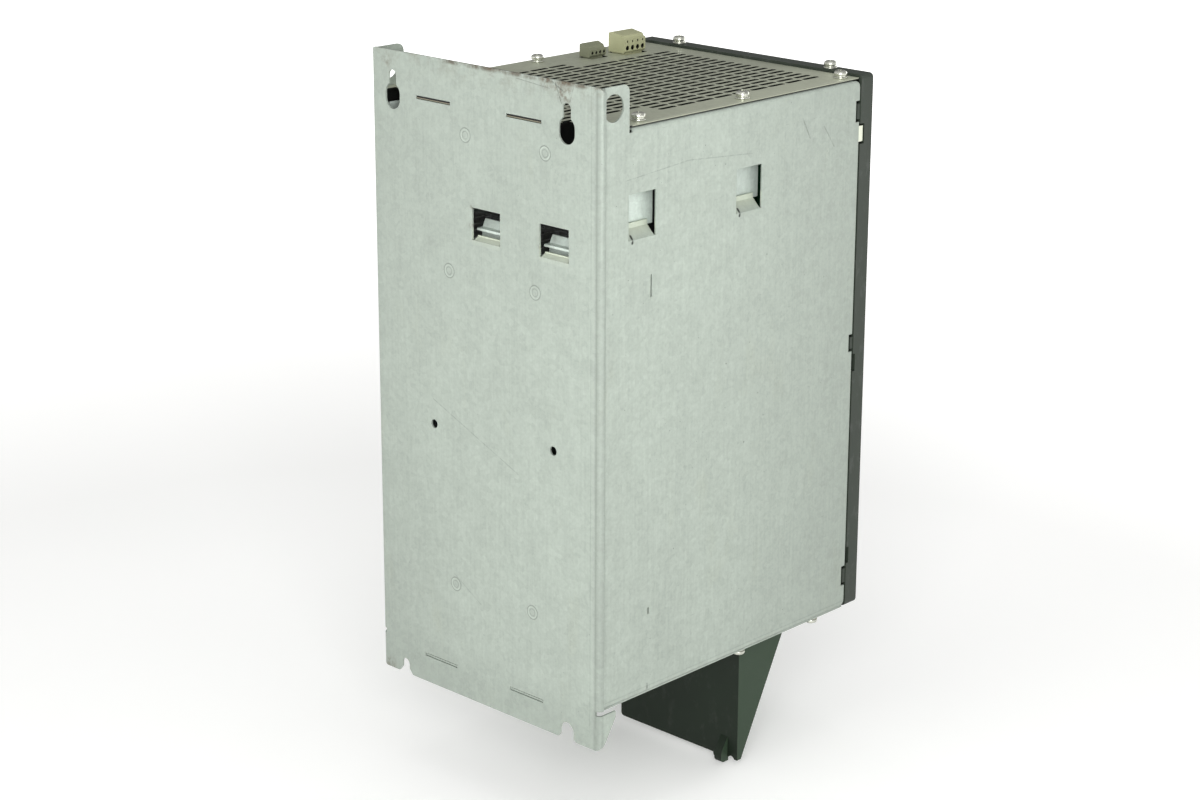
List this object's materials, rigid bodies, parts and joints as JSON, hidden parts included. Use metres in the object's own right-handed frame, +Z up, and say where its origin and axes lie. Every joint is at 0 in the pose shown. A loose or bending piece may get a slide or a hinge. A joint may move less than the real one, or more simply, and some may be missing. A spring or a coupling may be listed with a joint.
{
  "type": "servo drive",
  "caption": "Wall-mounted servo drive: galvanised sheet housing with air grille, moulded front cover, pluggable connectors, cooling fans and a black terminal guard below.",
  "frame": {"origin": "on the back plate's rear face, midway between its two long edges, level with the underside of the box", "axes": "+Z up as hung, +Y out of the back plate into the wall, +X to the right of someone facing the front"},
  "size_m": [0.2046, 0.2634, 0.4929],
  "materials": {
    "galvanised_sheet": "zinc-coated, satin with fine vertical streaks",
    "inner_sheet": "zinc-coated, clean",
    "zinc_screw": "bright zinc plate",
    "aluminium": "extruded",
    "guard_wire": "plated",
    "cover_black": "fine grain",
    "guard_black": "smooth moulded",
    "plug_ivory": "moulded",
    "plug_grey": "moulded",
    "plug_green": "moulded",
    "black_plastic": "moulded",
    "smoked_window": "polished",
    "key_rubber": "soft touch",
    "door_grey": "fine grain",
    "board_green": "lacquered board",
    "capacitor_sleeve": "shrink sleeve",
    "transformer_tape": "wound tape over ferrite",
    "module_grey": "fine grain"
  },
  "bodies": {
    "chassis": {"back_plate": "galvanised_sheet", "side_panel_left": "galvanised_sheet", "side_panel_right": "galvanised_sheet", "top_grille": "galvanised_sheet", "bottom_panel": "galvanised_sheet", "front_frame": "galvanised_sheet", "top_screw_1": "zinc_screw", "top_screw_2": "zinc_screw", "top_screw_3": "zinc_screw", "top_screw_4": "zinc_screw", "top_screw_5": "zinc_screw", "top_screw_6": "zinc_screw", "cover_screw_1": "zinc_screw", "cover_screw_2": "zinc_screw", "bottom_screw_1": "zinc_screw", "bottom_screw_2": "zinc_screw", "bottom_screw_3": "zinc_screw", "bottom_screw_4": "zinc_screw", "supply_header": "plug_ivory", "trigger_header": "plug_grey", "terminal_guard": "guard_black", "motor_header": "black_plastic", "mains_header": "black_plastic", "fan_frame_left": "black_plastic", "fan_frame_right": "black_plastic", "power_module": "black_plastic", "partition_plate": "black_plastic", "io_header": "plug_green", "inner_wall_left": "inner_sheet", "inner_wall_right": "inner_sheet", "cross_rail": "inner_sheet", "heatsink": "aluminium", "service_port": "aluminium", "encoder_ports": "aluminium", "fan_guard_left": "guard_wire", "fan_guard_right": "guard_wire", "power_board": "board_green", "control_board": "board_green", "interface_board": "board_green", "link_capacitor_1": "capacitor_sleeve", "link_capacitor_2": "capacitor_sleeve", "link_capacitor_3": "capacitor_sleeve", "link_capacitor_4": "capacitor_sleeve", "smps_transformer": "transformer_tape", "front_cover": "cover_black", "status_window": "smoked_window"},
    "key_1": {"key_1": "key_rubber"},
    "key_2": {"key_2": "key_rubber"},
    "key_3": {"key_3": "key_rubber"},
    "supply_plug": {"supply_plug": "plug_ivory"},
    "trigger_plug": {"trigger_plug": "plug_grey"},
    "motor_plug": {"motor_plug": "plug_green"},
    "mains_plug": {"mains_plug": "black_plastic"},
    "fieldbus_module": {"fieldbus_module": "module_grey"},
    "encoder_module": {"encoder_module": "module_grey"},
    "service_door": {"service_door": "door_grey"},
    "io_plug_left": {"io_plug_left": "plug_green"},
    "io_plug_right": {"io_plug_right": "plug_green"},
    "fan_rotor_left": {"fan_rotor_left": "black_plastic"},
    "fan_rotor_right": {"fan_rotor_right": "black_plastic"}
  },
  "joints": [
    {"name": "key_1_press", "type": "slide", "parent": "chassis", "child": "key_1", "axis": [0, 1, 0], "range_m": [0, 0.001], "stiffness_N_per_m": 500},
    {"name": "key_2_press", "type": "slide", "parent": "chassis", "child": "key_2", "axis": [0, 1, 0], "range_m": [0, 0.001], "stiffness_N_per_m": 500},
    {"name": "key_3_press", "type": "slide", "parent": "chassis", "child": "key_3", "axis": [0, 1, 0], "range_m": [0, 0.001], "stiffness_N_per_m": 500},
    {"name": "supply_plug_pull", "type": "slide", "parent": "chassis", "child": "supply_plug", "axis": [0, 0, 1], "range_m": [0, 0.02]},
    {"name": "trigger_plug_pull", "type": "slide", "parent": "chassis", "child": "trigger_plug", "axis": [0, 0, 1], "range_m": [0, 0.02]},
    {"name": "motor_plug_pull", "type": "slide", "parent": "chassis", "child": "motor_plug", "axis": [0, 0, -1], "range_m": [0, 0.016]},
    {"name": "mains_plug_pull", "type": "slide", "parent": "chassis", "child": "mains_plug", "axis": [0, 0, -1], "range_m": [0, 0.016]},
    {"name": "fieldbus_module_pull", "type": "slide", "parent": "chassis", "child": "fieldbus_module", "axis": [0, -1, 0], "range_m": [0, 0.078]},
    {"name": "encoder_module_pull", "type": "slide", "parent": "chassis", "child": "encoder_module", "axis": [0, -1, 0], "range_m": [0, 0.078]},
    {"name": "io_plug_left_pull", "type": "slide", "parent": "chassis", "child": "io_plug_left", "axis": [0, -1, 0], "range_m": [0, 0.012]},
    {"name": "io_plug_right_pull", "type": "slide", "parent": "chassis", "child": "io_plug_right", "axis": [0, -1, 0], "range_m": [0, 0.012]},
    {"name": "service_door_hinge", "type": "hinge", "parent": "chassis", "child": "service_door", "pos_m": [-0.088, -0.2606, 0.278], "axis": [0, 0, -1], "range_deg": [0, 110]},
    {"name": "fan_left_spin", "type": "hinge", "parent": "chassis", "child": "fan_rotor_left", "pos_m": [-0.044, -0.05, 0.018], "axis": [0, 0, 1], "continuous": true},
    {"name": "fan_right_spin", "type": "hinge", "parent": "chassis", "child": "fan_rotor_right", "pos_m": [0.044, -0.05, 0.018], "axis": [0, 0, 1], "continuous": true}
  ]
}
